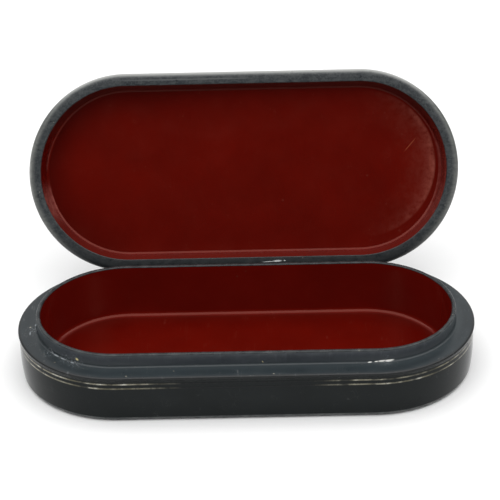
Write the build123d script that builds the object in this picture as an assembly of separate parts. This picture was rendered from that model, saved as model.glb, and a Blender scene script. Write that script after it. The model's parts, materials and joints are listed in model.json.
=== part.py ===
from build123d import *
from math import radians, sin, tan
import os

# Oblong lacquer box with round ends, standing with its lid open on the stop.
# Sizes are in millimetres. The origin is the middle of the underside, +X runs
# along the box, +Y points to the hinge and +Z is up.

# Body: a base board, a wound wall with the ledge on top, and a collar that rises as the lip
length = 150.0
width = 69.0
body_height = 16.5
base_thickness = 1.6
floor_cove = 1.5
body_wall_thickness = 6.2
body_foot_inset = 0.4
body_belly_inset = 0.1
body_neck_inset = 0.5
body_neck_drop = 1.9
ledge_round = 0.6
collar_thickness = 1.4
lip_height = 4.5
lip_round = 0.4

# Lid: a wound wall and a domed board
lid_depth = 6.8
lid_cove = 1.0
lid_wall_lean = 1.3
lid_dish_width = 6.0
lid_dish_depth = 0.2
lid_wall_thickness = 4.2
lid_rim_round = 1.6
lid_shoulder_inset = 0.4
lid_edge_inset = 3.15
lid_edge_rise = 2.8
lid_crown = 1.4

# Fits between the pieces
parting_gap = 0.15
glue_line = 0.05
overrun = 1.0

# Hinge: rolled sheet knuckles on a wire pin, let into both walls
open_angle = 114.0
hinge_inset = 1.0
hinge_length = 46.0
knuckle_count = 5
knuckle_gap = 0.2
pin_diameter = 0.9
running_fit = 0.03
leaf_thickness = 0.45
barrel_clearance = 0.25
stop_gap = 0.2
body_leaf_depth = 7.0
lid_leaf_depth = 5.0
leaf_pin_diameter = 0.8
leaf_pin_count = 3
leaf_pin_reach = 0.7
leaf_pin_height_share = 0.6

# Worked out from the sizes above
half_width = width / 2
straight = length - width
body_inner = half_width - body_wall_thickness
lip_top = body_height + lip_height
lid_rim = body_height + parting_gap
lid_top = lid_rim + lid_depth
lid_inner = half_width - lid_wall_thickness
hinge_y = half_width - hinge_inset
hinge_z = body_height + parting_gap / 2
at_hinge = Pos(0, hinge_y, hinge_z)
opened = at_hinge * Rot(-open_angle, 0, 0) * at_hinge.inverse()
bore_radius = pin_diameter / 2 + running_fit
knuckle_radius = bore_radius + leaf_thickness
barrel_room = knuckle_radius + barrel_clearance
knuckle_pitch = hinge_length / knuckle_count
leaf_y = leaf_thickness / 2 - knuckle_radius


def around(edges):
    """Carry a half section round the oblong. Its X is the distance from the middle, its Y the height."""
    profile = Plane.YZ * make_face(edges)
    back = extrude(profile, straight / 2, both=True)
    end = Pos(-straight / 2, 0, 0) * revolve(profile, Axis.Z, 180)
    half = back + end
    return half + Rot(0, 0, 180) * half


def body_side():
    """The belly of the body wall, from the base board up to the neck under the ledge bead."""
    foot = (half_width - body_foot_inset, base_thickness)
    neck = (half_width - body_neck_inset, body_height - body_neck_drop)
    belly = (half_width - body_belly_inset, (foot[1] + neck[1]) / 2)
    return ThreePointArc(foot, belly, neck)


def make_base_board():
    side = body_side()
    lean = side % 0
    edge_radius = base_thickness / (1 - lean.X)
    flat = (half_width - body_foot_inset - edge_radius * lean.Y, 0)
    edge = TangentArc(flat, side @ 0, tangent=(1, 0))
    rest = Polyline(side @ 0, (0, base_thickness), (0, 0), flat)
    return around([edge, rest])


def make_body_wall():
    side = body_side()
    bead_side = Vector(half_width, body_height - ledge_round)
    neck_cove = TangentArc(side @ 1, (side @ 1 + bead_side) / 2, tangent=(0, 1))
    bead_swell = TangentArc(neck_cove @ 1, bead_side, tangent=neck_cove % 1)
    ledge_edge = TangentArc(bead_side, (half_width - ledge_round, body_height), tangent=(0, 1))
    rest = Polyline(
        ledge_edge @ 1,
        (body_inner, body_height),
        (body_inner, base_thickness),
        side @ 0,
    )
    return around([side, neck_cove, bead_swell, ledge_edge, rest])


def make_collar():
    outer = body_inner - glue_line
    inner = body_inner - collar_thickness
    foot = (inner - floor_cove, base_thickness)
    outside = Polyline(foot, (outer, base_thickness), (outer, lip_top - lip_round))
    outer_edge = TangentArc(outside @ 1, (outer - lip_round, lip_top), tangent=(0, 1))
    top = Line(outer_edge @ 1, (inner + lip_round, lip_top))
    inner_edge = TangentArc(top @ 1, (inner, lip_top - lip_round), tangent=(-1, 0))
    inside = Line(inner_edge @ 1, (inner, base_thickness + floor_cove))
    cove = TangentArc(inside @ 1, foot, tangent=(0, -1))
    return around([outside, outer_edge, top, inner_edge, inside, cove])


def lid_side():
    """The outer side of the closed lid, from its rounded rim up to the board."""
    rim_side = (half_width, lid_rim + lid_rim_round)
    shoulder = (half_width - lid_shoulder_inset, lid_top)
    return TangentArc(rim_side, shoulder, tangent=(0, 1))


def lid_dish(end):
    """The margin of the panel inside the lid, from its flat middle out to the end."""
    return TangentArc(end + Vector(-lid_dish_width, lid_dish_depth), end, tangent=(1, 0))


def lid_inner_cove():
    """The cove inside the lid, from the margin of the panel into the wall, which leans in from the rim."""
    leave = lid_dish(Vector()) % 1
    arrive = Vector(lid_wall_lean, -lid_depth).normalized()
    chord = 2 * lid_cove * sin(radians(leave.get_angle(arrive) / 2))
    across = (leave + arrive).normalized() * chord
    wall_height = lid_depth + across.Y
    wall_top = lid_inner - lid_wall_lean * wall_height / lid_depth
    start = Vector(wall_top - across.X, lid_top)
    return TangentArc(start, start + across, tangent=leave)


def make_lid_wall():
    side = lid_side()
    rim_edge = TangentArc((half_width - lid_rim_round, lid_rim), side @ 0, tangent=(1, 0))
    cove = lid_inner_cove()
    top = Line(side @ 1, cove @ 0)
    rest = Polyline(cove @ 1, (lid_inner, lid_rim), rim_edge @ 0)
    return around([rim_edge, side, top, cove, rest])


def make_lid_board():
    crown = (0, lid_top + lid_edge_rise + lid_crown)
    edge_start = (half_width - lid_edge_inset, lid_top + lid_edge_rise)
    dome = TangentArc(crown, edge_start, tangent=(1, 0))
    edge = TangentArc(edge_start, lid_side() @ 1, tangent=dome % 1)
    dish = lid_dish(lid_inner_cove() @ 0)
    seat = Line(edge @ 1, dish @ 1)
    rest = Polyline(dish @ 0, (0, lid_top + lid_dish_depth), crown)
    return around([dome, edge, seat, dish, rest])


def along_x(radius, span):
    """A round bar on the hinge axis."""
    return Rot(0, 90, 0) * Cylinder(radius, span)


def knuckle_section():
    """A knuckle rolled from the leaf, with the strip that leads up from it."""
    strip = Pos(leaf_y, barrel_room / 2) * Rectangle(leaf_thickness, barrel_room)
    return Plane.YZ * (Circle(knuckle_radius) + strip - Circle(bore_radius))


def leaf_pin_bars(radius, depth, wall_thickness, tip):
    """Bars through a standing leaf, from level with the inner edge of its wall to behind the leaf."""
    start = hinge_inset - wall_thickness
    height = depth * leaf_pin_height_share
    spacing = hinge_length / leaf_pin_count
    bar = Rot(90, 0, 0) * Cylinder(radius, tip - start)
    places = GridLocations(spacing, 0, leaf_pin_count, 1)
    return [Pos(0, (start + tip) / 2, height) * place * bar for place in places]


def make_leaf(depth, wall_thickness, own_knuckles):
    """A leaf that stands up from the hinge axis, the holes for its pins in it."""
    plate_height = depth - barrel_room
    leaf = Pos(0, leaf_y, barrel_room + plate_height / 2) * Box(hinge_length, leaf_thickness, plate_height)
    knuckle = extrude(knuckle_section(), (knuckle_pitch - knuckle_gap) / 2, both=True)
    for number in own_knuckles:
        x = (number + 0.5 - knuckle_count / 2) * knuckle_pitch
        leaf += Pos(x, 0, 0) * knuckle
    pin_tip = leaf_pin_reach - bore_radius
    return leaf - leaf_pin_bars(leaf_pin_diameter / 2 + glue_line, depth, wall_thickness, pin_tip)


def make_leaf_pins(depth, wall_thickness):
    pin_tip = leaf_pin_reach - bore_radius
    return Compound(leaf_pin_bars(leaf_pin_diameter / 2, depth, wall_thickness, pin_tip))


def hinge_pocket(depth, wall_thickness):
    """What a wall gives up above the axis: barrel groove, back bevel, leaf kerf and pin holes."""
    groove = along_x(barrel_room, hinge_length + 2 * barrel_clearance)
    bevel_angle = radians(open_angle / 2)
    bevel_start = -stop_gap / 2 / sin(bevel_angle)
    bevel_end = hinge_inset + overrun
    bevel_rise = (bevel_end - bevel_start) * tan(bevel_angle)
    corners = Polyline((bevel_start, 0), (bevel_end, bevel_rise), (bevel_end, -bevel_rise), close=True)
    bevel = extrude(Plane.YZ * make_face(corners), length / 2, both=True)
    kerf_width = leaf_thickness + 2 * glue_line
    kerf_depth = depth + glue_line
    kerf = Pos(0, leaf_y, kerf_depth / 2) * Box(hinge_length + 2 * glue_line, kerf_width, kerf_depth)
    pin_tip = leaf_pin_reach - bore_radius + glue_line
    holes = leaf_pin_bars(leaf_pin_diameter / 2 + glue_line, depth, wall_thickness, pin_tip)
    return [groove, bevel, kerf] + holes


# The body leaf is the same form as the lid leaf turned to hang down from the axis.
hang_down = at_hinge * Rot(0, 180, 0)
body_knuckles = range(0, knuckle_count, 2)
lid_knuckles = range(1, knuckle_count, 2)
body_cuts = [hang_down * cut for cut in hinge_pocket(body_leaf_depth, body_wall_thickness)]
lid_cuts = [at_hinge * cut for cut in hinge_pocket(lid_leaf_depth, lid_wall_thickness)]

body_leaf = make_leaf(body_leaf_depth, body_wall_thickness, body_knuckles)
lid_leaf = make_leaf(lid_leaf_depth, lid_wall_thickness, lid_knuckles)

nodes = {
    "base_board": make_base_board(),
    "body_wall": make_body_wall() - body_cuts,
    "collar": make_collar(),
    "body_hinge_leaf": hang_down * body_leaf,
    "body_leaf_pins": hang_down * make_leaf_pins(body_leaf_depth, body_wall_thickness),
    "hinge_pin": at_hinge * along_x(pin_diameter / 2, hinge_length),
    "lid_wall": opened * (make_lid_wall() - lid_cuts),
    "lid_board": opened * make_lid_board(),
    "lid_hinge_leaf": opened * at_hinge * lid_leaf,
    "lid_leaf_pins": opened * at_hinge * make_leaf_pins(lid_leaf_depth, lid_wall_thickness),
}

os.makedirs("parts", exist_ok=True)
for name, solid in nodes.items():
    solid.label = name
    export_step(solid, f"parts/{name}.step")
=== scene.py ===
import json
import math

import bmesh
import bpy
from mathutils import Matrix, Vector


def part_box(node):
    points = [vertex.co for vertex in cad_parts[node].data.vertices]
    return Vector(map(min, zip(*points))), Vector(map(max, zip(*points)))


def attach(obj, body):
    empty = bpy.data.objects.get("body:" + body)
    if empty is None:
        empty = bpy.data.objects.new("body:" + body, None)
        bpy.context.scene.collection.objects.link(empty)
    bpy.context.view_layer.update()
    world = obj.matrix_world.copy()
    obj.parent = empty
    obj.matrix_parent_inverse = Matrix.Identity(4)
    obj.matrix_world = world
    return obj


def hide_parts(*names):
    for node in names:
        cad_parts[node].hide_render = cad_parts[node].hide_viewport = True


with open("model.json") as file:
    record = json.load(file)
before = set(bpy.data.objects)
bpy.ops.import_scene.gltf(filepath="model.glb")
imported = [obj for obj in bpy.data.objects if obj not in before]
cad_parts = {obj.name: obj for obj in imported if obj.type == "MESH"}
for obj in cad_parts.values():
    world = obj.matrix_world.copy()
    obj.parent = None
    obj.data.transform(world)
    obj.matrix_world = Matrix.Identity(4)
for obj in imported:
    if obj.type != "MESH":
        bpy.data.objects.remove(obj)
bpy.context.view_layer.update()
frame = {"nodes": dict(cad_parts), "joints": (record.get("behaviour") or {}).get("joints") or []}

# Lengths are in metres, as in the frame.
MM = 0.001
wall_low, wall_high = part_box("body_wall")
collar_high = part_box("collar")[1]
hinge = frame["joints"][0]
HINGE_POINT = Vector(hinge["pos_m"])
HINGE_AXIS = Vector(hinge["axis"])
OPEN_ANGLE = math.radians(hinge["range_deg"][1])

# Sizes of the body, taken from the frame or set as in the part
HALF_WIDTH = -wall_low.y
HALF_STRAIGHT = wall_high.x - HALF_WIDTH
BODY_HEIGHT = wall_high.z
BODY_WALL_THICKNESS = 6.2 * MM
BASE_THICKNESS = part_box("base_board")[1].z
LIP_TOP = collar_high.z
COLLAR_OUTER = collar_high.y
COLLAR_THICKNESS = 1.35 * MM
COLLAR_INNER = COLLAR_OUTER - COLLAR_THICKNESS
FLOOR_COVE = 1.5 * MM
FOOT_INSET = 0.4 * MM
BELLY_INSET = 0.1 * MM
NECK_INSET = 0.5 * MM
NECK_DROP = 1.9 * MM
LEDGE_ROUND = 0.6 * MM
LEDGE_INNER = HALF_WIDTH - BODY_WALL_THICKNESS
LIP_ROUND = 0.4 * MM

# Sizes of the closed lid
PARTING_GAP = 0.15 * MM
LID_RIM = BODY_HEIGHT + PARTING_GAP
LID_DEPTH = 6.8 * MM
LID_TOP = LID_RIM + LID_DEPTH
LID_WALL_THICKNESS = 4.2 * MM
LID_INNER = HALF_WIDTH - LID_WALL_THICKNESS
LID_COVE = 1.0 * MM
LID_WALL_LEAN = 1.3 * MM
LID_WALL_DOWN = Vector((LID_WALL_LEAN, -LID_DEPTH)).normalized()
LID_RIM_ROUND = 1.6 * MM
SHOULDER_INSET = 0.4 * MM
LID_EDGE_INSET = 3.15 * MM
LID_EDGE_RISE = 2.8 * MM
LID_CROWN = 1.4 * MM
DISH_WIDTH = 6.0 * MM
DISH_DEPTH = 0.2 * MM

# Softening that only the lacquer coat has: at the foot of the lip and on the inner edge of the lid's rim
LIP_FILLET = 0.8 * MM
LID_INNER_ROUND = 0.25 * MM

# Sizes of the hinge pocket
HINGE_INSET = HALF_WIDTH - HINGE_POINT.y
HINGE_LENGTH = 46.0 * MM
BARREL_ROOM = 1.18 * MM
BARREL_CLEARANCE = 0.25 * MM
STOP_GAP = 0.2 * MM
KERF_WIDTH = 0.55 * MM
KERF_Y = -0.705 * MM
BODY_LEAF_DEPTH = 7.0 * MM
LID_LEAF_DEPTH = 5.0 * MM
OVERRUN = 1.0 * MM

# Direction over the width of the open lid, and what turns a length along it into the closed lid's Y
LID_ACROSS = Matrix.Rotation(-OPEN_ANGLE, 3, HINGE_AXIS) @ Vector((0.0, 1.0, 0.0))
LID_ACROSS_START = HINGE_POINT.y - HINGE_POINT.dot(LID_ACROSS)

# Gilt lines: how far from the parting plane, how wide and how high they stand, and their rounding
LINE_DROPS = (2.5 * MM, 4.0 * MM)
LINE_WIDTH = 0.5 * MM
LINE_HEIGHT = 0.03 * MM
LINE_CURVE = (0.7, 0.95, 1.0, 0.95, 0.7)

# Gilt on the front: how far from the middle it is missing and whole, and the span of the ramp between
GILT_BARE = 20.0 * MM
GILT_WHOLE = 33.0 * MM
GILT_SPAN = 100.0 * MM

# Fineness of the meshes
SIDE_STEPS = 48
END_STEPS = 80
ARC_STEPS = 10
GROOVE_STEPS = 40
WELD_DISTANCE = 0.001 * MM
SHARP_ANGLE = math.radians(32)

# Painted light on the ledge beside the lip and on the lip's foot: its width on the ledge and its drop down
# the lip
LEDGE_LIGHT_WIDTH = 3.4 * MM
LIP_FOOT_LIGHT_DROP = 1.2 * MM

# Painted shade at the left end of the ledge: where along X it starts and is full, and how strong it is
LEDGE_DARK = (-45.0 * MM, -65.0 * MM)
LEDGE_DARK_SHARE = 0.4

# Painted highlight and painted shade on the lid's rim: widths of the rubbed, highlighted outer band and of
# the highlighted edge, heights on the open lid, a bright place and its reach
RIM_RUB_AND_HIGHLIGHT_WIDTH = 2.5 * MM
RIM_EDGE_HIGHLIGHT_WIDTH = 1.4 * MM
RIM_BRIGHT_HEIGHTS = (64.0 * MM, 76.0 * MM)
RIM_BRIGHT_PLACE = ((-0.0742, 0.0482, 0.0487), 0.016)
RIM_DARK_HEIGHTS = (34.0 * MM, 12.0 * MM)

# Painted shade on the open lid's panel, deepening its red: width beside the wall, starts and ends along X or
# Z, and strengths
PANEL_SHADE = 16.0 * MM
PANEL_SHADE_LEFT = (-30.0 * MM, -60.0 * MM)
PANEL_SHADE_UPPER = (32.0 * MM, 56.0 * MM)
PANEL_SHADE_UPPER_LEFT = (20.0 * MM, -70.0 * MM)
PANEL_SHADE_LEFT_SHARE = 0.5
PANEL_SHADE_UPPER_SHARE = 0.85

# Painted shade and a duller finish at the top of the open lid's inner wall: heights where it starts and is
# full, and how dull it is
WALL_SHADE_HEIGHTS = (50.0 * MM, 70.5 * MM)
WALL_SHADE_ROUGHNESS = (0.6, 0.6, 0.6)

# Crescent of painted reflection on the panel inside the open lid: it follows the round of the right end
CRESCENT_SHEEN_MIDDLE = (0.0672, 0.0542, 0.046)
CRESCENT_SHEEN_REACH = 0.038
CRESCENT_ROUND_MIDDLE = (0.0417, 0.0541, 0.0456)
CRESCENT_ROUND_REACH = 0.0262

# Strength of the crescent over shares of the reach of its round
CRESCENT_RING = ((0.5, 0.0), (0.8, 0.17), (0.91, 0.5), (0.965, 1.0), (0.98, 0.9), (1.0, 0.0))

# Painted sheen in patches on the inner wall of the open lid: middle, reach and colour of each
LID_WALL_SHEENS = (
    ((-0.0683, 0.0465, 0.0364), 0.01, (0.29, 0.08, 0.066)),
    ((0.0697, 0.0475, 0.0385), 0.026, (0.165, 0.033, 0.027)),
)

# Places where the ledge and the lip are chipped or knocked: middle and reach of each
LEDGE_CHIPS = (
    ((-0.0626, -0.019, 0.0165), 0.0035),
    ((-0.0572, -0.0236, 0.0166), 0.0035),
    ((-0.0535, -0.0258, 0.0168), 0.004),
    ((-0.0697, -0.005, 0.0165), 0.003),
    ((0.0436, -0.028, 0.017), 0.0028),
)

# Knocks with a painted glint, rubbed streaks on the ledge, light streaks and a light line on the rim, a hair
# scratch and flecks: ends of each and half its width
LIP_KNOCK_GLINTS = (
    ((0.0378, -0.0285, 0.01674), (0.0392, -0.0284, 0.01682), 0.00019),
    ((0.0399, -0.0284, 0.01686), (0.0412, -0.0283, 0.01696), 0.00018),
    ((0.0410, -0.0283, 0.01695), (0.0436, -0.0281, 0.01712), 0.00032),
    ((0.0430, -0.0282, 0.01708), (0.0462, -0.0277, 0.01717), 0.00052),
)
LEDGE_STREAKS = (
    ((-0.0612, -0.0199, 0.01656), (-0.0592, -0.0217, 0.01656), 0.00028),
    ((-0.0588, -0.0221, 0.01658), (-0.0572, -0.0234, 0.01656), 0.0002),
    ((-0.0552, -0.0248, 0.01654), (-0.0541, -0.0254, 0.01652), 0.0003),
    ((-0.0692, -0.0018, 0.0166), (-0.0689, -0.0032, 0.0166), 0.0004),
    ((-0.0704, -0.0062, 0.0165), (-0.0702, -0.0085, 0.0165), 0.00025),
)
RIM_STREAKS = (
    ((0.0058, 0.03416, 0.01788), (0.0104, 0.03422, 0.01802), 0.00014),
    ((0.0094, 0.03424, 0.01806), (0.0128, 0.0343, 0.0182), 0.00034),
    ((0.0133, 0.0343, 0.01822), (0.0141, 0.0343, 0.01822), 0.0002),
)
RIM_LINE = ((-0.0462, 0.06025, 0.07647), (0.0085, 0.06025, 0.07647), 0.00022)
PANEL_SCRATCH = ((0.0567, 0.05576, 0.04919), (0.06099, 0.05776, 0.05367), 0.00013)
GILT_SPECKS = (
    ((-0.0534, -0.0253, 0.0176), (-0.0528, -0.0252, 0.0183), 0.0006),
    ((0.005, -0.02825, 0.0175), (0.0052, -0.02825, 0.0177), 0.0003),
)

# Make of specks, scratches and streaks: solid core, crowding, length and fading edge
SPECK_CORE = 0.6
SPECK_CROWDING = 0.16
SCRATCH_CROWDING = 0.5
SCRATCH_STRETCH = (1.0, 0.035, 1.0)
STREAK_FADE = (1.2, 0.5)

# Grain of the patches of painted sheen and highlight, of chipped places and of the flecks in them, in spots
# per metre
SHEEN_PATCH_GRAIN = 420.0
CHIP_GRAIN = 900.0
FLECK_GRAIN = 1700.0

# Colours of the polished black sides, and how rough a scratch in them is
GLOSS_DEEP = (0.004, 0.0058, 0.006)
GLOSS_LIGHT = (0.0065, 0.0088, 0.0092)
GLOSS_SCRATCH = (0.03, 0.032, 0.031)
GLOSS_SCRATCH_ROUGHNESS = (0.4, 0.4, 0.4)
GLOSS_DUST = (0.07, 0.07, 0.065)

# Colours of the ledge
LEDGE_DEEP = (0.0105, 0.0155, 0.0185)
LEDGE_LIGHT = (0.0195, 0.027, 0.031)
# Painted light: the ledge lighter beside the lip
LEDGE_BESIDE_LIP = (0.0305, 0.039, 0.0435)
# Painted shade: the darker left end of the ledge
LEDGE_LEFT_END = (0.008, 0.0115, 0.0135)
LEDGE_EDGE = (0.004, 0.005, 0.0055)
LEDGE_SCRATCH = (0.07, 0.075, 0.078)
LEDGE_GRIT = (0.11, 0.11, 0.1)
LEDGE_DUST = (0.34, 0.31, 0.25)
LEDGE_CHIP = (0.24, 0.26, 0.28)
LEDGE_STREAK = (0.2, 0.22, 0.235)
# Painted glint on the knock at the lip's foot
LEDGE_KNOCK_GLINT = (0.88, 0.88, 0.83)

# Colours of the lip's outer face; the colours of its ends and foot are painted light
LIP_DEEP = (0.022, 0.027, 0.034)
LIP_LIGHT = (0.037, 0.043, 0.052)
LIP_ENDS = (0.05, 0.064, 0.068)
LIP_CLOUD = (0.05, 0.06, 0.066)
LIP_FOOT = (0.06, 0.067, 0.073)
LIP_SCORE = (0.055, 0.062, 0.07)
LIP_GILT = (0.75, 0.66, 0.34)

# Colours of the worn edges and the foot, the deepest and the lightest of each, and of their wear; the foot's
# lighter grey is partly wear and partly painted reflection of the floor
EDGE_TONES = ((0.012, 0.0155, 0.0175), (0.038, 0.042, 0.044))
FOOT_TONES = ((0.032, 0.036, 0.037), (0.085, 0.089, 0.087))
EDGE_NICK = (0.12, 0.115, 0.1)
EDGE_CHIP = (0.3, 0.32, 0.33)

# Colours of the lid's rim; the outer band is partly rub and partly painted highlight, the bright colour
# painted highlight and the dark colour painted shade
RIM_DEEP = (0.009, 0.0125, 0.0155)
RIM_LIGHT = (0.021, 0.0255, 0.0295)
RIM_GRAIN = (0.07, 0.075, 0.075)
RIM_SPECKLE = (0.05, 0.055, 0.056)
RIM_RUB_AND_HIGHLIGHT = (0.125, 0.129, 0.122)
RIM_BRIGHT = (0.34, 0.345, 0.33)
RIM_HAIRLINE = (0.08, 0.085, 0.085)
RIM_DARK = (0.008, 0.0095, 0.0105)
RIM_NICK = (0.2, 0.19, 0.17)
RIM_STREAK = (0.5, 0.52, 0.52)

# Colours of the red lacquer, the deepest and the lightest of each face, and of its wear and its shine; the
# wall's tones are lighter and the floor's darker as painted light and shade, and the shade and crescent
# colours are painted shade and painted reflection
RED_LID_TONES = ((0.082, 0.0023, 0.0008), (0.103, 0.003, 0.0011))
RED_FLOOR_TONES = ((0.071, 0.0018, 0.0005), (0.089, 0.0024, 0.0007))
RED_WALL_TONES = ((0.1, 0.0035, 0.0015), (0.124, 0.0045, 0.002))
RED_SHADE = (0.045, 0.0013, 0.0005)
RED_RUBBED = (0.11, 0.012, 0.008)
RED_DUST = (0.12, 0.016, 0.011)
RED_CRESCENT_SHEEN = (0.27, 0.066, 0.047)
RED_SCRATCH = (0.24, 0.05, 0.022)
RED_SHINE = (1.0, 0.41, 0.33)

# Colours of the gilt and the lacquer below it, of the brass and of the floor
GILT_DIM = (0.09, 0.084, 0.06)
GILT_PLAIN = (0.2, 0.19, 0.15)
GILT_BRIGHT = (0.5, 0.49, 0.43)
GILT_GROUND = (0.007, 0.008, 0.0085)
BRASS_BROWN = (0.2, 0.13, 0.05)
BRASS_BRIGHT = (0.58, 0.43, 0.19)
BRASS_STAIN = (0.09, 0.055, 0.025)
FLOOR_GREY = (0.86, 0.86, 0.86)

# Numbers of the finishes, in the order of the lacquers
GLOSS, SATIN, LIP, EDGE, RIM, FOOT, RED, RED_FLOOR, RED_WALL, RED_LID_WALL = range(10)

# Numbers of the sockets with which a mix node blends colours
MIX_SHARE = 0
MIX_FIRST = 6
MIX_SECOND = 7
MIX_RESULT = 2


# Sections

def arc_turn(start, direction, end):
    """Forward and sideways directions at the start of a tangent arc, the angle it turns and its chord."""
    chord = Vector((end[0] - start[0], end[1] - start[1]))
    along = Vector(direction).normalized()
    across = Vector((-along.y, along.x))
    swing = 2 * math.atan2(chord.dot(across), chord.dot(along))
    return along, across, swing, chord


def tangent_arc(start, direction, end, steps):
    """Points after the start of an arc that leaves it along the direction and ends at the end."""
    along, across, swing, chord = arc_turn(start, direction, end)
    radius = chord.length_squared / (2 * chord.dot(across))
    points = []
    for step in range(1, steps + 1):
        part = swing * step / steps
        forward = radius * math.sin(part)
        sideways = radius * (1 - math.cos(part))
        points.append((
            start[0] + along.x * forward + across.x * sideways,
            start[1] + along.y * forward + across.y * sideways,
        ))
    return points


def end_direction(start, direction, end):
    """Direction in which the tangent arc arrives."""
    along, across, swing = arc_turn(start, direction, end)[:3]
    return along * math.cos(swing) + across * math.sin(swing)


class Section:
    """A half section: points as distance from the middle and height, with a finish for each stretch."""

    def __init__(self, start):
        self.points = [start]
        self.finishes = []

    def line(self, end, finish, steps=1):
        """Go straight on to the end."""
        start = self.points[-1]
        for step in range(1, steps + 1):
            share = step / steps
            self.points.append((
                start[0] + (end[0] - start[0]) * share,
                start[1] + (end[1] - start[1]) * share,
            ))
            self.finishes.append(finish)

    def arc(self, direction, end, finish, steps=ARC_STEPS):
        """Leave along the direction and bend round to the end."""
        self.points += tangent_arc(self.points[-1], direction, end, steps)
        self.finishes += [finish] * steps

    def close(self, finish):
        """Join the last point to the first."""
        self.finishes.append(finish)


def belly_circle():
    """Middle and radius of the round that the body side follows."""
    foot = Vector((HALF_WIDTH - FOOT_INSET, BASE_THICKNESS))
    neck = Vector((HALF_WIDTH - NECK_INSET, BODY_HEIGHT - NECK_DROP))
    belly = Vector((HALF_WIDTH - BELLY_INSET, (foot.y + neck.y) / 2))
    a, b = foot - belly, neck - belly
    cross = 2 * (a.x * b.y - a.y * b.x)
    middle = belly + Vector((
        (b.y * a.length_squared - a.y * b.length_squared) / cross,
        (a.x * b.length_squared - b.x * a.length_squared) / cross,
    ))
    return middle, (belly - middle).length


BELLY_MIDDLE, BELLY_RADIUS = belly_circle()


def body_radius(height):
    """Distance of the body side from the middle at a height between foot and neck."""
    rise = height - BELLY_MIDDLE.y
    return BELLY_MIDDLE.x + math.sqrt(BELLY_RADIUS ** 2 - rise ** 2)


def body_lean(height):
    """Upward direction of the body side at a height."""
    out = Vector((body_radius(height), height)) - BELLY_MIDDLE
    return Vector((-out.y, out.x)).normalized()


def lid_side_circle():
    """Middle distance and radius of the round that the lid side follows from the rim up."""
    rise = LID_TOP - LID_RIM - LID_RIM_ROUND
    radius = (rise ** 2 + SHOULDER_INSET ** 2) / (2 * SHOULDER_INSET)
    return HALF_WIDTH - radius, radius


LID_SIDE_MIDDLE, LID_SIDE_RADIUS = lid_side_circle()


def lid_radius(height):
    """Distance of the closed lid's side from the middle at a height above its rim round."""
    rise = height - LID_RIM - LID_RIM_ROUND
    return LID_SIDE_MIDDLE + math.sqrt(LID_SIDE_RADIUS ** 2 - rise ** 2)


def lid_lean(height):
    """Upward direction of the closed lid's side at a height."""
    out = Vector((lid_radius(height) - LID_SIDE_MIDDLE, height - LID_RIM - LID_RIM_ROUND))
    return Vector((-out.y, out.x)).normalized()


def base_section():
    foot = (body_radius(BASE_THICKNESS), BASE_THICKNESS)
    lean = body_lean(BASE_THICKNESS)
    edge_radius = BASE_THICKNESS / (1 - lean.x)
    flat = (foot[0] - edge_radius * lean.y, 0.0)
    section = Section((0.0, 0.0))
    section.line(flat, GLOSS, steps=6)
    section.arc((1, 0), foot, FOOT)
    section.line((COLLAR_INNER, BASE_THICKNESS), GLOSS)
    section.line((0.0, BASE_THICKNESS), RED_FLOOR, steps=8)
    return section


def body_wall_section():
    foot = (body_radius(BASE_THICKNESS), BASE_THICKNESS)
    neck_height = BODY_HEIGHT - NECK_DROP
    neck = (body_radius(neck_height), neck_height)
    bead = (HALF_WIDTH, BODY_HEIGHT - LEDGE_ROUND)
    middle = ((neck[0] + bead[0]) / 2, (neck[1] + bead[1]) / 2)
    swell = end_direction(neck, (0, 1), middle)
    section = Section(foot)
    section.arc(body_lean(BASE_THICKNESS), neck, GLOSS, steps=14)
    section.arc((0, 1), middle, GLOSS, steps=6)
    section.arc(swell, bead, GLOSS, steps=6)
    section.arc((0, 1), (HALF_WIDTH - LEDGE_ROUND, BODY_HEIGHT), SATIN, steps=8)
    section.line((LEDGE_INNER, BODY_HEIGHT), SATIN, steps=4)
    section.line((LEDGE_INNER, BASE_THICKNESS), GLOSS)
    section.close(GLOSS)
    return section


def collar_section():
    section = Section((COLLAR_INNER - FLOOR_COVE, BASE_THICKNESS))
    section.line((COLLAR_OUTER, BASE_THICKNESS), RED_WALL)
    section.line((COLLAR_OUTER, BODY_HEIGHT), SATIN)
    section.line((COLLAR_OUTER + LIP_FILLET, BODY_HEIGHT), SATIN)
    section.arc((-1, 0), (COLLAR_OUTER, BODY_HEIGHT + LIP_FILLET), SATIN, steps=6)
    section.line((COLLAR_OUTER, LIP_TOP - LIP_ROUND), LIP, steps=3)
    section.arc((0, 1), (COLLAR_OUTER - LIP_ROUND, LIP_TOP), EDGE, steps=8)
    section.line((COLLAR_INNER + LIP_ROUND, LIP_TOP), EDGE)
    section.arc((-1, 0), (COLLAR_INNER, LIP_TOP - LIP_ROUND), EDGE, steps=8)
    section.line((COLLAR_INNER, BASE_THICKNESS + FLOOR_COVE), RED_WALL, steps=6)
    section.arc((0, -1), (COLLAR_INNER - FLOOR_COVE, BASE_THICKNESS), RED_WALL)
    return section


def bend(leave, arrive, radius):
    """From the start to the end of an arc of the radius that leaves and arrives along the directions."""
    chord = 2 * radius * math.sin(leave.angle(arrive) / 2)
    return (leave + arrive).normalized() * chord


def lid_wall_point(height):
    """Where the leaning inner wall of the closed lid is at a height."""
    return Vector((LID_INNER - LID_WALL_LEAN * (height - LID_RIM) / LID_DEPTH, height))


def dish_ends():
    """Start, end and end direction of the margin of the panel inside the lid."""
    leave = end_direction((0.0, DISH_DEPTH), (1, 0), (DISH_WIDTH, 0.0))
    across = bend(leave, LID_WALL_DOWN, LID_COVE)
    end = lid_wall_point(LID_TOP + across.y) - across
    start = end + Vector((-DISH_WIDTH, DISH_DEPTH))
    return tuple(start), tuple(end), leave


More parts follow.
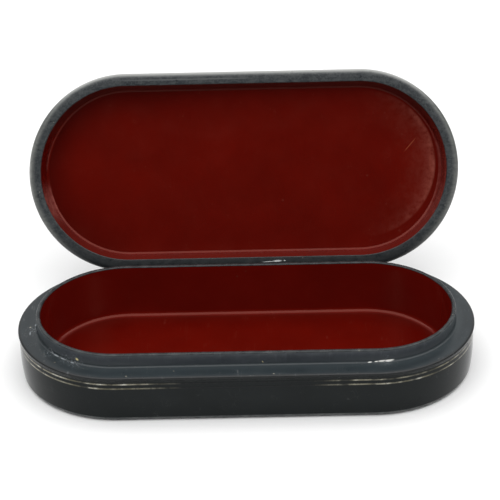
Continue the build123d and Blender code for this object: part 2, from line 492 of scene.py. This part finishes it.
def lid_wall_section():
    rim_side = (HALF_WIDTH, LID_RIM + LID_RIM_ROUND)
    cove_start, slope = dish_ends()[1:]
    wall_top = lid_wall_point(LID_TOP + bend(slope, LID_WALL_DOWN, LID_COVE).y)
    edge = bend(LID_WALL_DOWN, Vector((1.0, 0.0)), LID_INNER_ROUND)
    wall_foot = lid_wall_point(LID_RIM - edge.y)
    section = Section((HALF_WIDTH - LID_RIM_ROUND, LID_RIM))
    section.arc((1, 0), rim_side, RIM, steps=12)
    section.arc((0, 1), (lid_radius(LID_TOP), LID_TOP), GLOSS)
    section.line(cove_start, RED)
    section.arc(slope, tuple(wall_top), RED_LID_WALL, steps=14)
    section.line(tuple(wall_foot), RED_LID_WALL, steps=3)
    section.arc(LID_WALL_DOWN, tuple(wall_foot + edge), EDGE, steps=5)
    section.close(RIM)
    return section


def lid_board_section():
    crown = (0.0, LID_TOP + LID_EDGE_RISE + LID_CROWN)
    edge_start = (HALF_WIDTH - LID_EDGE_INSET, LID_TOP + LID_EDGE_RISE)
    shoulder = (lid_radius(LID_TOP), LID_TOP)
    dish_start, cove_start, slope = dish_ends()
    section = Section(crown)
    section.arc((1, 0), edge_start, GLOSS, steps=16)
    section.arc(end_direction(crown, (1, 0), edge_start), shoulder, GLOSS, steps=14)
    section.line(cove_start, RED)
    section.arc(-slope, dish_start, RED, steps=14)
    section.line((0.0, dish_start[1]), RED, steps=6)
    return section


def line_section(middle, lean):
    """A gilt line: a flat, rounded stroke that stands a little proud of the lacquer."""
    along = lean * (LINE_WIDTH / 2)
    out = Vector((lean.y, -lean.x)) * LINE_HEIGHT
    low = middle - along
    high = middle + along
    section = Section(tuple(low - out))
    section.line(tuple(low), GLOSS)
    rise = along * (2 / (len(LINE_CURVE) + 1))
    for step, height in enumerate(LINE_CURVE, start=1):
        section.line(tuple(low + rise * step + out * height), GLOSS)
    section.line(tuple(high), GLOSS)
    section.line(tuple(high - out), GLOSS)
    section.close(GLOSS)
    return section


# Meshes

def stations():
    """Places round the oblong: the middle of each cross-cut along X and its outward direction."""
    places = []
    for side in (-1, 1):
        for step in range(SIDE_STEPS):
            x = side * (HALF_STRAIGHT - 2 * HALF_STRAIGHT * step / SIDE_STEPS)
            places.append((x, Vector((0.0, side))))
        for step in range(END_STEPS):
            turn = math.pi * step / END_STEPS + side * math.pi / 2
            places.append((-side * HALF_STRAIGHT, Vector((math.cos(turn), math.sin(turn)))))
    return places


def add_piece(name, mesh):
    piece = bpy.data.objects.new(name, mesh)
    bpy.context.scene.collection.objects.link(piece)
    return piece


def around(name, section, materials):
    """Carry a section round the oblong as a closed mesh."""
    mesh = bpy.data.meshes.new(name)
    shape = bmesh.new()
    rows = []
    for x, out in stations():
        rows.append([
            shape.verts.new((x + out.x * reach, out.y * reach, height))
            for reach, height in section.points
        ])
    count = len(section.points)
    for place, row in enumerate(rows):
        following = rows[(place + 1) % len(rows)]
        for number, finish in enumerate(section.finishes):
            after = (number + 1) % count
            face = shape.faces.new((row[number], following[number], following[after], row[after]))
            face.material_index = finish
    bmesh.ops.remove_doubles(shape, verts=shape.verts, dist=WELD_DISTANCE)
    bmesh.ops.recalc_face_normals(shape, faces=shape.faces)
    shape.to_mesh(mesh)
    shape.free()
    for material in materials:
        mesh.materials.append(material)
    return add_piece(name, mesh)


def smooth(piece):
    """Shade a piece smoothly apart from its sharp edges."""
    piece.data.shade_smooth()
    piece.data.set_sharp_from_angle(angle=SHARP_ANGLE)


def prism_along_x(corners, half_span):
    """A cutter with the given Y, Z corners round the hinge axis."""
    shape = bmesh.new()
    ends = []
    for x in (-half_span, half_span):
        ends.append([
            shape.verts.new(HINGE_POINT + Vector((x, y, z)))
            for y, z in corners
        ])
    shape.faces.new(ends[0])
    shape.faces.new(list(reversed(ends[1])))
    for number in range(len(corners)):
        after = (number + 1) % len(corners)
        shape.faces.new((ends[0][number], ends[1][number], ends[1][after], ends[0][after]))
    bmesh.ops.recalc_face_normals(shape, faces=shape.faces)
    mesh = bpy.data.meshes.new("cutter")
    shape.to_mesh(mesh)
    shape.free()
    return add_piece("cutter", mesh)


def hinge_cutters(leaf_depth, upward):
    """Bevel, barrel groove and leaf kerf that a wall gives up round the hinge axis."""
    bevel_angle = OPEN_ANGLE / 2
    start = -STOP_GAP / 2 / math.sin(bevel_angle)
    end = HINGE_INSET + OVERRUN
    rise = (end - start) * math.tan(bevel_angle)
    bevel = [(start, 0.0), (end, -rise), (end, rise)]
    groove = []
    for step in range(GROOVE_STEPS):
        turn = 2 * math.pi * step / GROOVE_STEPS
        groove.append((BARREL_ROOM * math.cos(turn), BARREL_ROOM * math.sin(turn)))
    front = KERF_Y - KERF_WIDTH / 2
    back = KERF_Y + KERF_WIDTH / 2
    tip = leaf_depth * upward
    kerf = [(front, 0.0), (back, 0.0), (back, tip), (front, tip)]
    return [
        prism_along_x(bevel, HALF_WIDTH + HALF_STRAIGHT),
        prism_along_x(groove, HINGE_LENGTH / 2 + BARREL_CLEARANCE),
        prism_along_x(kerf, HINGE_LENGTH / 2),
    ]


def cut(piece, cutters):
    """Cut the cutters out of the piece for good and clear them away."""
    for cutter in cutters:
        change = piece.modifiers.new("pocket", "BOOLEAN")
        change.operation = "DIFFERENCE"
        change.solver = "EXACT"
        change.object = cutter
        depsgraph = bpy.context.evaluated_depsgraph_get()
        mesh = bpy.data.meshes.new_from_object(piece.evaluated_get(depsgraph))
        piece.modifiers.clear()
        piece.data = mesh
        bpy.data.objects.remove(cutter)


def open_lid(piece):
    """Turn a closed lid piece back about the hinge axis to where the open lid rests."""
    there = Matrix.Translation(HINGE_POINT)
    turn = Matrix.Rotation(-OPEN_ANGLE, 4, HINGE_AXIS)
    piece.data.transform(there @ turn @ there.inverted())


# Materials

class Shades:
    """Builds one material from nodes."""

    def __init__(self, name):
        self.material = bpy.data.materials.new(name)
        self.material.use_nodes = True
        self.nodes = self.material.node_tree.nodes
        self.links = self.material.node_tree.links
        self.shader = self.nodes["Principled BSDF"]
        self.place = self.nodes.new("ShaderNodeTexCoord").outputs["Object"]

    def join(self, value, socket):
        """Link a socket to another, or set its number or colour."""
        if isinstance(value, bpy.types.NodeSocket):
            self.links.new(value, socket)
        elif isinstance(value, (int, float)):
            socket.default_value = value
        else:
            socket.default_value = (*value, 1.0)

    def wear(self, **values):
        """Set the shader's inputs, written with underscores for blanks."""
        for name, value in values.items():
            self.join(value, self.shader.inputs[name.replace("_", " ")])

    def math(self, operation, first, second=0.0):
        node = self.nodes.new("ShaderNodeMath")
        node.operation = operation
        self.join(first, node.inputs[0])
        self.join(second, node.inputs[1])
        return node.outputs["Value"]

    def mix(self, share, first, second):
        """The first colour where the share is nought and the second where it is one."""
        node = self.nodes.new("ShaderNodeMix")
        node.data_type = "RGBA"
        self.join(share, node.inputs[MIX_SHARE])
        self.join(first, node.inputs[MIX_FIRST])
        self.join(second, node.inputs[MIX_SECOND])
        return node.outputs[MIX_RESULT]

    def ramp(self, value, *stops):
        """Colours over a value; each stop is a place and a grey level or a colour."""
        node = self.nodes.new("ShaderNodeValToRGB")
        elements = node.color_ramp.elements
        while len(elements) < len(stops):
            elements.new(0.5)
        for element, (place, colour) in zip(elements, stops):
            element.position = place
            if isinstance(colour, (int, float)):
                colour = (colour, colour, colour)
            element.color = (*colour, 1.0)
        self.links.new(value, node.inputs["Fac"])
        return node.outputs["Color"]

    def fade(self, value, start, end):
        """Nought at the start, one at the end, smooth between and level beyond; the end may be the lower."""
        node = self.nodes.new("ShaderNodeMapRange")
        node.interpolation_type = "SMOOTHSTEP"
        node.inputs["From Min"].default_value = start
        node.inputs["From Max"].default_value = end
        self.links.new(value, node.inputs["Value"])
        return node.outputs["Result"]

    def axis(self, name):
        node = self.nodes.new("ShaderNodeSeparateXYZ")
        self.links.new(self.place, node.inputs["Vector"])
        return node.outputs[name]

    def fade_along(self, name, start, end):
        """A fade from one place on an axis to another."""
        return self.fade(self.axis(name), start, end)

    def aside(self):
        """How far along X a place is from the middle."""
        return self.math("ABSOLUTE", self.axis("X"))

    def ends(self):
        """Nought along the straight sides and one at the two ends of the oblong."""
        return self.fade(self.aside(), HALF_STRAIGHT + LID_INNER / 2, HALF_STRAIGHT + LID_INNER)

    def distance(self, middle):
        node = self.nodes.new("ShaderNodeVectorMath")
        node.operation = "DISTANCE"
        node.inputs[1].default_value = middle
        self.links.new(self.place, node.inputs[0])
        return node.outputs["Value"]

    def reach(self, across=(0.0, 1.0, 0.0), start=0.0):
        """How far a place is from the middle line of the oblong."""
        node = self.nodes.new("ShaderNodeVectorMath")
        node.operation = "DOT_PRODUCT"
        node.inputs[1].default_value = across
        self.links.new(self.place, node.inputs[0])
        sideways = self.math("ADD", node.outputs["Value"], start)
        past = self.math("SUBTRACT", self.aside(), HALF_STRAIGHT)
        past = self.math("MAXIMUM", past, 0.0)
        past_square = self.math("MULTIPLY", past, past)
        sideways_square = self.math("MULTIPLY", sideways, sideways)
        return self.math("SQRT", self.math("ADD", past_square, sideways_square))

    def stretched(self, scale, turn=(0.0, 0.0, 0.0)):
        """Places turned and scaled, for a pattern that is drawn out in one direction."""
        mapping = self.nodes.new("ShaderNodeMapping")
        mapping.inputs["Scale"].default_value = scale
        mapping.inputs["Rotation"].default_value = turn
        self.links.new(self.place, mapping.inputs["Vector"])
        return mapping.outputs["Vector"]

    def noise(self, scale, detail=4.0, roughness=0.55, vector=None):
        """A cloudy value between nought and one, with the scale in clouds per metre."""
        node = self.nodes.new("ShaderNodeTexNoise")
        node.inputs["Scale"].default_value = scale
        node.inputs["Detail"].default_value = detail
        node.inputs["Roughness"].default_value = roughness
        self.links.new(vector or self.place, node.inputs["Vector"])
        return node.outputs["Fac"]

    def bump(self, height, depth):
        node = self.nodes.new("ShaderNodeBump")
        node.inputs["Distance"].default_value = depth
        node.inputs["Strength"].default_value = 1.0
        self.links.new(height, node.inputs["Height"])
        return node.outputs["Normal"]

    def specks(self, scale, size, share):
        """One in dust specks, nought between them: small round spots in some cells of a scatter."""
        cells = self.nodes.new("ShaderNodeTexVoronoi")
        cells.inputs["Scale"].default_value = scale
        self.links.new(self.place, cells.inputs["Vector"])
        spot = self.ramp(cells.outputs["Distance"], (size * SPECK_CORE, 1.0), (size, 0.0))
        tone = self.nodes.new("ShaderNodeSeparateColor")
        self.links.new(cells.outputs["Color"], tone.inputs["Color"])
        chosen = self.math("LESS_THAN", tone.outputs["Red"], share)
        gathered = self.ramp(self.noise(scale * SPECK_CROWDING, 2.0), (0.5, 0.0), (0.62, 1.0))
        return self.math("MULTIPLY", self.math("MULTIPLY", spot, chosen), gathered)

    def scratches(self, scale, turn, width):
        """One in fine hair scratches, nought between them."""
        lines = self.noise(scale, 1.0, 0.5, self.stretched(SCRATCH_STRETCH, turn))
        line = self.ramp(lines, (0.5 - width, 0.0), (0.5, 1.0), (0.5 + width, 0.0))
        where = self.ramp(self.noise(scale * SCRATCH_CROWDING, 2.0), (0.56, 0.0), (0.66, 1.0))
        return self.math("MULTIPLY", line, where)

    def near(self, middle, reach, grain):
        """One near a place and nought beyond its reach, broken up like a scuff."""
        broken = self.ramp(self.noise(grain, 6.0, 0.65), (0.35, 0.25), (0.65, 1.0))
        return self.math("MULTIPLY", self.fade(self.distance(middle), reach, 0.0), broken)

    def streak(self, start, end, half_width):
        """One along a thin streak between two places and nought beside it."""
        along = Vector(end) - Vector(start)
        node = self.nodes.new("ShaderNodeMapping")
        node.vector_type = "TEXTURE"
        node.inputs["Location"].default_value = (Vector(start) + Vector(end)) / 2
        node.inputs["Rotation"].default_value = along.to_track_quat("X", "Z").to_euler()
        node.inputs["Scale"].default_value = (along.length / 2, half_width, half_width)
        self.links.new(self.place, node.inputs["Vector"])
        away = self.nodes.new("ShaderNodeVectorMath")
        away.operation = "LENGTH"
        self.links.new(node.outputs["Vector"], away.inputs[0])
        return self.fade(away.outputs["Value"], *STREAK_FADE)

    def streaks(self, places):
        """One along any of the streaks."""
        found = self.streak(*places[0])
        for place in places[1:]:
            found = self.math("MAXIMUM", found, self.streak(*place))
        return found

    def crescent(self):
        """One along the crescent of painted reflection, sharp on its outer side and fading inwards."""
        share = self.math("DIVIDE", self.distance(CRESCENT_ROUND_MIDDLE), CRESCENT_ROUND_REACH)
        ring = self.ramp(share, *CRESCENT_RING)
        return self.math("MULTIPLY", ring, self.near(CRESCENT_SHEEN_MIDDLE, CRESCENT_SHEEN_REACH, SHEEN_PATCH_GRAIN))

    def chips(self):
        """One in small chips that crowd round the chipped places of the ledge."""
        close = 0.0
        for middle, reach in LEDGE_CHIPS:
            close = self.math("MAXIMUM", self.near(middle, reach, CHIP_GRAIN), close)
        flecks = self.ramp(self.noise(FLECK_GRAIN, 3.0, 0.6), (0.54, 0.0), (0.6, 1.0))
        return self.math("MULTIPLY", flecks, close)


def black_gloss():
    """Polished black lacquer of the outer sides: faint ripple, hair scratches and a little dust."""
    m = Shades("black_lacquer_gloss")
    tone = m.ramp(m.noise(90.0), (0.3, GLOSS_DEEP), (0.7, GLOSS_LIGHT))
    rubbed = m.scratches(500.0, (0.2, 0.3, 0.9), 0.012)
    dust = m.specks(420.0, 0.16, 0.05)
    colour = m.mix(rubbed, tone, GLOSS_SCRATCH)
    colour = m.mix(dust, colour, GLOSS_DUST)
    rough = m.ramp(m.noise(160.0, 6.0), (0.3, 0.05), (0.75, 0.14))
    rough = m.mix(rubbed, rough, GLOSS_SCRATCH_ROUGHNESS)
    ripple = m.bump(m.noise(260.0, 2.0), 0.006 * MM)
    m.wear(Base_Color=colour, Roughness=rough, IOR=1.25, Normal=ripple)
    return m.material


def black_satin():
    """Rubbed black lacquer of the ledge: slate haze, dust and small knocks, with painted light beside the
    lip, painted shade at the left end and a painted glint on a knock.
    """
    m = Shades("black_lacquer_satin")
    haze = m.ramp(m.noise(70.0, 6.0), (0.3, LEDGE_DEEP), (0.72, LEDGE_LIGHT))
    dust = m.specks(480.0, 0.18, 0.2)
    grit = m.specks(1000.0, 0.22, 0.3)
    rubbed = m.scratches(600.0, (0.0, 0.0, 1.2), 0.02)
    reach = m.reach()
    beside_lip = m.fade(reach, LEDGE_INNER + LEDGE_LIGHT_WIDTH, LEDGE_INNER + LIP_FILLET)
    over_edge = m.fade(reach, HALF_WIDTH - 2 * LEDGE_ROUND, HALF_WIDTH)
    left_end = m.math("MULTIPLY", m.fade_along("X", *LEDGE_DARK), LEDGE_DARK_SHARE)
    # Painted light on the ledge beside the lip
    colour = m.mix(beside_lip, haze, LEDGE_BESIDE_LIP)
    # Painted shade at the left end of the ledge
    colour = m.mix(left_end, colour, LEDGE_LEFT_END)
    colour = m.mix(over_edge, colour, LEDGE_EDGE)
    colour = m.mix(rubbed, colour, LEDGE_SCRATCH)
    colour = m.mix(grit, colour, LEDGE_GRIT)
    colour = m.mix(dust, colour, LEDGE_DUST)
    colour = m.mix(m.chips(), colour, LEDGE_CHIP)
    colour = m.mix(m.streaks(LEDGE_STREAKS), colour, LEDGE_STREAK)
    # A knock at the lip's foot with a painted glint on it
    colour = m.mix(m.streaks(LIP_KNOCK_GLINTS), colour, LEDGE_KNOCK_GLINT)
    rough = m.ramp(m.noise(240.0, 5.0), (0.3, 0.26), (0.75, 0.42))
    grain = m.bump(m.noise(900.0, 4.0), 0.006 * MM)
    m.wear(Base_Color=colour, Roughness=rough, IOR=1.42, Normal=grain)
    return m.material


def lip_foot(m):
    """Where painted light lifts the lip's face: nought near its top and one at its foot, weaker along the
    middle of the sides.
    """
    foot = m.fade_along("Z", LIP_TOP - LIP_FOOT_LIGHT_DROP, BODY_HEIGHT + LIP_FILLET)
    sideways = m.fade(m.aside(), HALF_STRAIGHT / 2, HALF_STRAIGHT)
    return m.math("MULTIPLY", foot, m.ramp(sideways, (0.0, 0.3), (1.0, 1.0)))


def black_lip():
    """Outer face of the lip: the lid slides over it, so it is hazed and finely scored up and down; its ends
    and foot are lighter as painted light.
    """
    m = Shades("black_lacquer_lip")
    haze = m.ramp(m.noise(110.0, 6.0), (0.3, LIP_DEEP), (0.72, LIP_LIGHT))
    upright = m.noise(700.0, 4.0, 0.6, m.stretched((1.0, 1.0, 0.08)))
    score = m.ramp(upright, (0.55, 0.0), (0.72, 1.0))
    cloud = m.ramp(m.noise(450.0, 5.0, 0.65), (0.45, 0.0), (0.65, 0.5))
    # Painted light at the ends and the foot of the lip
    haze = m.mix(m.ends(), haze, LIP_ENDS)
    haze = m.mix(cloud, haze, LIP_CLOUD)
    haze = m.mix(lip_foot(m), haze, LIP_FOOT)
    colour = m.mix(score, haze, LIP_SCORE)
    colour = m.mix(m.chips(), colour, LEDGE_CHIP)
    colour = m.mix(m.streaks(GILT_SPECKS), colour, LIP_GILT)
    rough = m.ramp(m.noise(260.0, 5.0), (0.3, 0.28), (0.75, 0.45))
    grain = m.bump(m.noise(900.0, 4.0), 0.006 * MM)
    m.wear(Base_Color=colour, Roughness=rough, IOR=1.45, Normal=grain)
    return m.material


def black_edge(name, deep, light):
    """Worn edges: the lacquer is rubbed to a grey line with small nicks; on the foot the grey is partly
    painted reflection.
    """
    m = Shades(name)
    worn = m.ramp(m.noise(330.0, 5.0), (0.4, deep), (0.7, light))
    nicks = m.specks(600.0, 0.22, 0.1)
    colour = m.mix(nicks, worn, EDGE_NICK)
    colour = m.mix(m.chips(), colour, EDGE_CHIP)
    rough = m.ramp(m.noise(420.0, 4.0), (0.3, 0.2), (0.7, 0.38))
    grain = m.bump(m.noise(700.0, 3.0), 0.01 * MM)
    m.wear(Base_Color=colour, Roughness=rough, IOR=1.42, Normal=grain)
    return m.material


def black_rim():
    """Rim of the lid: greyed and grained by rubbing, with painted highlight on its outer round and edge and
    painted shade on its low part.
    """
    m = Shades("black_lacquer_rim_rubbed_and_highlighted")
    cloud = m.ramp(m.noise(120.0, 5.0), (0.3, RIM_DEEP), (0.72, RIM_LIGHT))
    streak = m.noise(1100.0, 6.0, 0.7, m.stretched((0.4, 1.0, 1.0)))
    speckle = m.ramp(m.noise(1500.0, 3.0, 0.7), (0.48, 0.0), (0.62, 1.0))
    nicks = m.specks(700.0, 0.2, 0.08)
    reach = m.reach(LID_ACROSS, LID_ACROSS_START)
    # Outer band: rub streaks and painted highlight on the round, stronger at the ends
    outer = m.fade(reach, HALF_WIDTH - RIM_RUB_AND_HIGHLIGHT_WIDTH, HALF_WIDTH - RIM_RUB_AND_HIGHLIGHT_WIDTH / 3)
    outer = m.math("MULTIPLY", outer, m.ramp(m.ends(), (0.0, 0.2), (1.0, 1.0)))
    rubbed = m.math("MULTIPLY", m.ramp(streak, (0.3, 0.45), (0.62, 1.0)), outer)
    # Painted highlight along the outer edge at the top of the open lid and at one place on the left
    edge = m.fade(reach, HALF_WIDTH - RIM_EDGE_HIGHLIGHT_WIDTH, HALF_WIDTH)
    upper = m.fade_along("Z", *RIM_BRIGHT_HEIGHTS)
    where = m.math("MAXIMUM", upper, m.near(*RIM_BRIGHT_PLACE, SHEEN_PATCH_GRAIN))
    colour = m.mix(m.ramp(streak, (0.48, 0.0), (0.66, 0.7)), cloud, RIM_GRAIN)
    colour = m.mix(speckle, colour, RIM_SPECKLE)
    colour = m.mix(rubbed, colour, RIM_RUB_AND_HIGHLIGHT)
    colour = m.mix(m.math("MULTIPLY", edge, where), colour, RIM_BRIGHT)
    colour = m.mix(m.streak(*RIM_LINE), colour, RIM_HAIRLINE)
    # Painted shade on the low part of the rim near the hinge
    colour = m.mix(m.fade_along("Z", *RIM_DARK_HEIGHTS), colour, RIM_DARK)
    colour = m.mix(nicks, colour, RIM_NICK)
    colour = m.mix(m.streaks(RIM_STREAKS), colour, RIM_STREAK)
    rough = m.ramp(m.noise(380.0, 4.0), (0.3, 0.26), (0.7, 0.44))
    grain = m.bump(m.noise(900.0, 4.0), 0.012 * MM)
    m.wear(Base_Color=colour, Roughness=rough, IOR=1.45, Normal=grain)
    return m.material


def lid_shade(m):
    """Painted shade, strongest round the left end and upper left edge of the open lid's panel, where the red
    is darkened most.
    """
    reach = m.reach(LID_ACROSS, LID_ACROSS_START)
    beside_wall = m.fade(reach, LID_INNER - PANEL_SHADE, LID_INNER)
    left = m.math("MULTIPLY", m.fade_along("X", *PANEL_SHADE_LEFT), PANEL_SHADE_LEFT_SHARE)
    upper = m.math("MULTIPLY", m.fade_along("Z", *PANEL_SHADE_UPPER), PANEL_SHADE_UPPER_SHARE)
    upper_left = m.math("MULTIPLY", upper, m.fade_along("X", *PANEL_SHADE_UPPER_LEFT))
    return m.math("MULTIPLY", beside_wall, m.math("MAXIMUM", left, upper_left))


def red_gloss(name, deep, light, on_panel=False, on_lid_wall=False):
    """Polished deep red lacquer of the inside, with a crescent of painted reflection in the lid; the lid's
    panel gets painted shade, and its wall painted shade at the top and painted sheen in patches.
    """
    m = Shades(name)
    cloud = m.ramp(m.noise(55.0, 6.0), (0.3, deep), (0.72, light))
    rubbed = m.scratches(420.0, (0.3, 0.2, 0.7), 0.008)
    dust = m.specks(300.0, 0.14, 0.12)
    colour = m.mix(rubbed, cloud, RED_RUBBED)
    colour = m.mix(dust, colour, RED_DUST)
    # Painted reflection: a light crescent on the lid's panel near the right end
    colour = m.mix(m.crescent(), colour, RED_CRESCENT_SHEEN)
    colour = m.mix(m.streak(*PANEL_SCRATCH), colour, RED_SCRATCH)
    rough = m.ramp(m.noise(130.0, 5.0), (0.3, 0.1), (0.75, 0.2))
    if on_panel:
        # Painted shade round the left end and upper left edge of the panel
        colour = m.mix(lid_shade(m), colour, RED_SHADE)
    if on_lid_wall:
        # Painted shade at the top of the lid's wall, with a duller finish there
        top = m.fade_along("Z", *WALL_SHADE_HEIGHTS)
        colour = m.mix(top, colour, RED_SHADE)
        rough = m.mix(top, rough, WALL_SHADE_ROUGHNESS)
        # Painted sheen in patches on the lid's wall
        for middle, reach, tone in LID_WALL_SHEENS:
            colour = m.mix(m.near(middle, reach, SHEEN_PATCH_GRAIN), colour, tone)
    ripple = m.bump(m.noise(230.0, 2.0), 0.008 * MM)
    m.wear(Base_Color=colour, Roughness=rough, IOR=1.48, Specular_Tint=RED_SHINE, Normal=ripple)
    return m.material


def gilt():
    """Gold line drawn with a pen, broken in places and missing along the middle of the front."""
    m = Shades("gilt_line")
    gold = m.ramp(m.noise(190.0, 4.0), (0.38, GILT_DIM), (0.56, GILT_PLAIN), (0.7, GILT_BRIGHT))
    sideways = m.math("MULTIPLY", m.aside(), 1 / GILT_SPAN)
    kept = m.ramp(sideways, (GILT_BARE / GILT_SPAN, 0.0), (GILT_WHOLE / GILT_SPAN, 1.0))
    kept = m.math("MAXIMUM", kept, m.math("GREATER_THAN", m.axis("Y"), 0.0))
    thin = m.ramp(m.noise(260.0, 5.0), (0.36, 0.15), (0.52, 1.0))
    cover = m.math("MULTIPLY", thin, kept)
    colour = m.mix(cover, GILT_GROUND, gold)
    rough = m.ramp(m.noise(800.0, 4.0), (0.3, 0.2), (0.7, 0.38))
    grain = m.bump(m.noise(1500.0, 3.0), 0.01 * MM)
    m.wear(Base_Color=colour, Metallic=cover, Roughness=rough, IOR=1.25, Normal=grain)
    return m.material


def aged_brass():
    """Drawn brass of the hinge, browned with age and rubbed bright in places."""
    m = Shades("aged_brass")
    metal = m.ramp(m.noise(350.0, 6.0), (0.3, BRASS_BROWN), (0.7, BRASS_BRIGHT))
    stain = m.ramp(m.noise(900.0, 4.0), (0.5, 0.0), (0.75, 1.0))
    colour = m.mix(stain, metal, BRASS_STAIN)
    rough = m.ramp(m.noise(600.0, 4.0), (0.3, 0.25), (0.7, 0.5))
    drawn = m.bump(m.noise(2500.0, 2.0, 0.5, m.stretched((0.05, 1.0, 1.0))), 0.01 * MM)
    m.wear(Base_Color=colour, Metallic=1.0, Roughness=rough, Normal=drawn)
    return m.material


def pale_floor():
    m = Shades("pale_floor")
    m.wear(Base_Color=FLOOR_GREY, Roughness=0.9, Specular_IOR_Level=0.0)
    return m.material


# The box

LACQUERS = [
    black_gloss(),
    black_satin(),
    black_lip(),
    black_edge("black_lacquer_worn_edge", *EDGE_TONES),
    black_rim(),
    # The foot's grey: partly wear, partly painted reflection of the floor
    black_edge("black_lacquer_foot", *FOOT_TONES),
    red_gloss("red_lacquer_panel", *RED_LID_TONES, on_panel=True),
    red_gloss("red_lacquer_floor", *RED_FLOOR_TONES),
    red_gloss("red_lacquer_wall", *RED_WALL_TONES),
    red_gloss("red_lacquer_lid_wall", *RED_LID_TONES, on_lid_wall=True),
]
GILT = gilt()
BRASS = aged_brass()


def lay(piece, body, slot, *nodes):
    """Put a finished piece on its body in place of the nodes."""
    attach(piece, body)
    if nodes:
        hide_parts(*nodes)


def make_body():
    base = around("base_board_lacquered", base_section(), LACQUERS)
    wall = around("body_wall_lacquered", body_wall_section(), LACQUERS)
    cut(wall, hinge_cutters(BODY_LEAF_DEPTH, -1))
    collar = around("collar_lacquered", collar_section(), LACQUERS)
    for piece in (base, wall, collar):
        smooth(piece)
    lay(base, "body", "black_lacquer", "base_board")
    lay(wall, "body", "black_lacquer", "body_wall")
    lay(collar, "body", "red_lacquer", "collar")


def make_lid():
    wall = around("lid_wall_lacquered", lid_wall_section(), LACQUERS)
    cut(wall, hinge_cutters(LID_LEAF_DEPTH, 1))
    board = around("lid_board_lacquered", lid_board_section(), LACQUERS)
    for piece in (wall, board):
        open_lid(piece)
        smooth(piece)
    lay(wall, "lid", "black_lacquer", "lid_wall")
    lay(board, "lid", "red_lacquer", "lid_board")


def make_gilt_lines():
    for number, drop in enumerate(LINE_DROPS, start=1):
        height = BODY_HEIGHT - drop
        middle = Vector((body_radius(height), height))
        line = around(f"gilt_line_body_{number}", line_section(middle, body_lean(height)), [GILT])
        smooth(line)
        lay(line, "body", "brass")
        height = LID_RIM + drop
        middle = Vector((lid_radius(height), height))
        line = around(f"gilt_line_lid_{number}", line_section(middle, lid_lean(height)), [GILT])
        open_lid(line)
        smooth(line)
        lay(line, "lid", "brass")


def finish_hinge():
    for name in ("body_hinge_leaf", "body_leaf_pins", "hinge_pin", "lid_hinge_leaf", "lid_leaf_pins"):
        node = frame["nodes"][name]
        node.data.materials.clear()
        node.data.materials.append(BRASS)


make_body()
make_lid()
make_gilt_lines()
finish_hinge()


# Floor, light and camera

FLOOR_HALF = 3.0
FLOOR_DROP = 0.02 * MM
WORLD_COLOUR = (1.0, 1.0, 1.0, 1.0)
WORLD_STRENGTH = 0.06

# Soft lights: name, place, aim, size and power of each
SOFT_LIGHTS = (
    ("top_light", (0.0, -0.4, 1.2), (0.0, -0.4, 0.0), (3.2, 2.6), 56.0),
    ("back_light", (0.0, 1.4, 0.7), (0.0, 0.0, 0.1), (2.6, 1.2), 8.0),
)

# Where the photo was taken from
CAMERA_AIM = Vector((1.81, 0.0, 41.81)) * MM
CAMERA_DISTANCE = 448.0 * MM
CAMERA_HEIGHT_ANGLE = math.radians(29.12)
CAMERA_SIDE_ANGLE = math.radians(-0.28)
CAMERA_ROLL = math.radians(-1.32)
CAMERA_LENS = 100.5
CAMERA_SENSOR = 36.0
CAMERA_NEAR = 10.0 * MM


def make_floor():
    mesh = bpy.data.meshes.new("floor")
    corners = [(-1, -1), (1, -1), (1, 1), (-1, 1)]
    points = [(x * FLOOR_HALF, y * FLOOR_HALF, -FLOOR_DROP) for x, y in corners]
    mesh.from_pydata(points, [], [(0, 1, 2, 3)])
    mesh.materials.append(pale_floor())
    floor = add_piece("floor", mesh)


def soft_light(name, place, aim, size, power):
    lamp = bpy.data.lights.new(name, "AREA")
    lamp.shape = "RECTANGLE"
    lamp.size, lamp.size_y = size
    lamp.energy = power
    light = add_piece(name, lamp)
    light.location = place
    direction = Vector(aim) - Vector(place)
    light.rotation_euler = direction.to_track_quat("-Z", "Y").to_euler()


def make_lights():
    world = bpy.data.worlds.new("studio")
    world.use_nodes = True
    back = world.node_tree.nodes["Background"]
    back.inputs["Color"].default_value = WORLD_COLOUR
    back.inputs["Strength"].default_value = WORLD_STRENGTH
    bpy.context.scene.world = world
    for light in SOFT_LIGHTS:
        soft_light(*light)


def make_camera():
    data = bpy.data.cameras.new("camera")
    data.lens = CAMERA_LENS
    data.sensor_width = CAMERA_SENSOR
    data.clip_start = CAMERA_NEAR
    camera = add_piece("camera", data)
    level = math.cos(CAMERA_HEIGHT_ANGLE)
    forward = Vector((
        math.sin(CAMERA_SIDE_ANGLE) * level,
        math.cos(CAMERA_SIDE_ANGLE) * level,
        -math.sin(CAMERA_HEIGHT_ANGLE),
    ))
    right = Vector((math.cos(CAMERA_SIDE_ANGLE), -math.sin(CAMERA_SIDE_ANGLE), 0.0))
    up = right.cross(forward)
    turned_right = right * math.cos(CAMERA_ROLL) + up * math.sin(CAMERA_ROLL)
    turned_up = up * math.cos(CAMERA_ROLL) - right * math.sin(CAMERA_ROLL)
    axes = Matrix((turned_right, turned_up, -forward)).transposed().to_4x4()
    camera.matrix_world = Matrix.Translation(CAMERA_AIM - forward * CAMERA_DISTANCE) @ axes
    bpy.context.scene.camera = camera


make_floor()
make_lights()
make_camera()
bpy.context.scene.view_settings.view_transform = "Standard"
